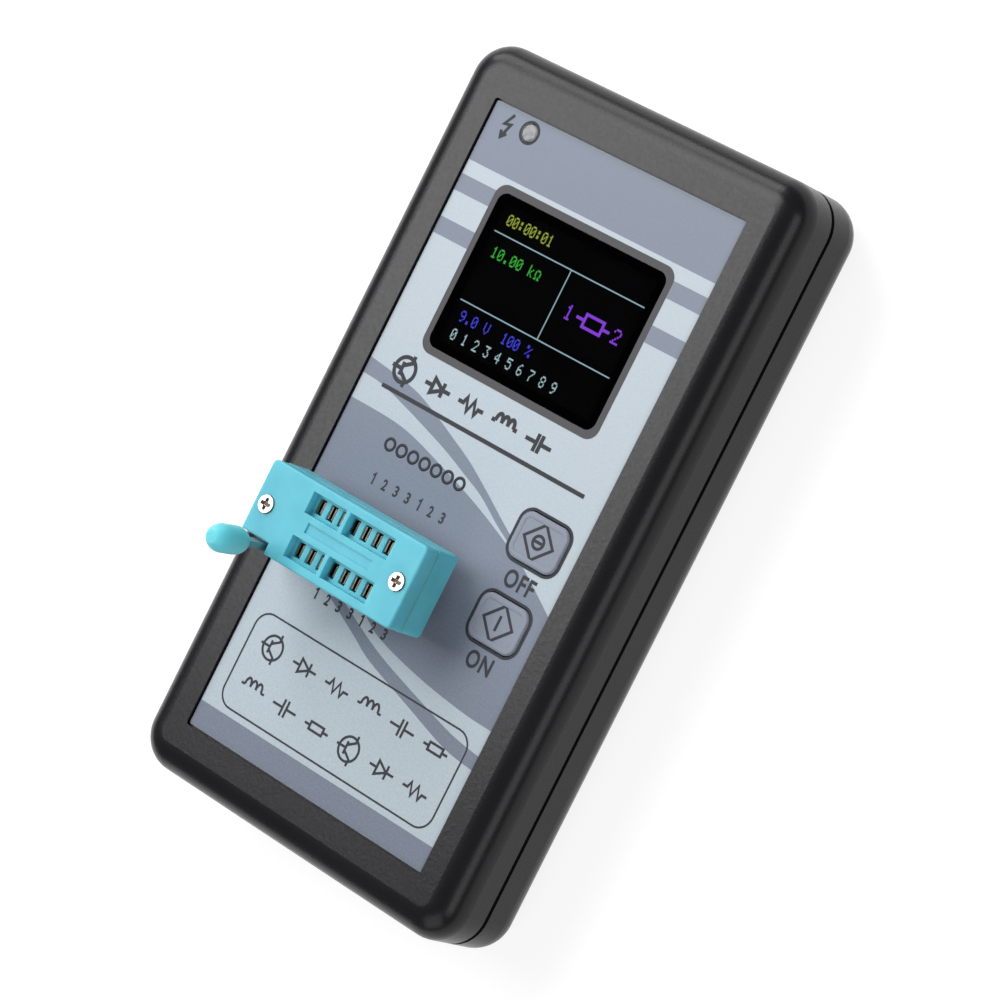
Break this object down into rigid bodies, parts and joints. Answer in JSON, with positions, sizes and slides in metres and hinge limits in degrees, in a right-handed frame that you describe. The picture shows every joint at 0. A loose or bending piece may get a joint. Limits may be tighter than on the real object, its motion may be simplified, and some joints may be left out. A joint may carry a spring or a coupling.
{
  "type": "component tester",
  "caption": "Handheld component tester: slim two-shell case, recessed printed panel, colour display, sprung keys, indicator lamp and a raised lever-operated test socket.",
  "frame": {"origin": "centre of the back face, on which the tester lies", "axes": "+X to the right of the panel, +Y to the end with the lamp, +Z out of the panel"},
  "size_m": [0.071, 0.131, 0.0441],
  "materials": {
    "case_plastic": "dark grey moulded plastic with a fine grain",
    "overlay_film": "satin printed film, pale and slate areas",
    "key_film": "satin embossed film",
    "clear_window": "clear glossy plastic",
    "screen": "black lit display face",
    "lamp": "milky diffusing plastic",
    "plated_wire": "tinned metal",
    "board": "green solder mask",
    "black_plastic": "black moulded plastic",
    "plunger_plastic": "black plastic stem",
    "chip_parts": "dark ceramic chips",
    "can_metal": "bright metal can",
    "connector_plastic": "off-white plastic",
    "screw_steel": "nickel plated",
    "socket_plastic": "turquoise moulded plastic",
    "slider_plastic": "pale plastic comb",
    "lever_steel": "plain steel",
    "battery_jacket": "plain dark jacket",
    "red_insulation": "red wire insulation",
    "black_insulation": "black wire insulation"
  },
  "bodies": {
    "case": {"front_shell": "case_plastic", "rear_shell": "case_plastic", "front_overlay": "overlay_film", "display_window": "clear_window", "display_panel": "screen", "indicator_led": "lamp", "led_legs": "plated_wire", "socket_contacts": "plated_wire", "main_board": "board", "display_board": "board", "off_switch_body": "black_plastic", "test_switch_body": "black_plastic", "display_header": "black_plastic", "socket_riser": "black_plastic", "microcontroller": "black_plastic", "voltage_regulator": "black_plastic", "battery_snap": "black_plastic", "display_spacers": "black_plastic", "measuring_resistors": "chip_parts", "crystal": "can_metal", "capacitors": "can_metal", "power_connector": "connector_plastic", "case_screws": "screw_steel", "board_screws": "screw_steel", "socket_screws": "screw_steel", "socket_base": "socket_plastic", "socket_cover": "socket_plastic", "battery": "battery_jacket", "battery_lead_red": "red_insulation", "battery_lead_black": "black_insulation"},
    "off_key": {"off_key": "key_film", "off_switch_plunger": "plunger_plastic"},
    "test_key": {"test_key": "key_film", "test_switch_plunger": "plunger_plastic"},
    "lever": {"lever_arm": "lever_steel", "lever_knob": "socket_plastic"},
    "slider": {"socket_slider": "slider_plastic"},
    "battery_door": {"battery_door": "case_plastic"}
  },
  "joints": [
    {"name": "off_key_press", "type": "slide", "parent": "case", "child": "off_key", "axis": [0, 0, -1], "range_m": [0, 0.00035], "stiffness_N_per_m": 300},
    {"name": "test_key_press", "type": "slide", "parent": "case", "child": "test_key", "axis": [0, 0, -1], "range_m": [0, 0.00035], "stiffness_N_per_m": 300},
    {"name": "lever_turn", "type": "hinge", "parent": "case", "child": "lever", "pos_m": [-0.0209, -0.01748, 0.0274], "axis": [0, -1, 0], "range_deg": [0, 86]},
    {"name": "slider_shift", "type": "slide", "parent": "case", "child": "slider", "axis": [1, 0, 0], "range_m": [0, 0.0004]},
    {"name": "battery_door_lift", "type": "slide", "parent": "case", "child": "battery_door", "axis": [0, 0, -1], "range_m": [0, 0.02]}
  ],
  "couplings": [
    {"joint": "lever_turn", "follows": "slider_shift", "rad_per_m": 3752.5}
  ]
}
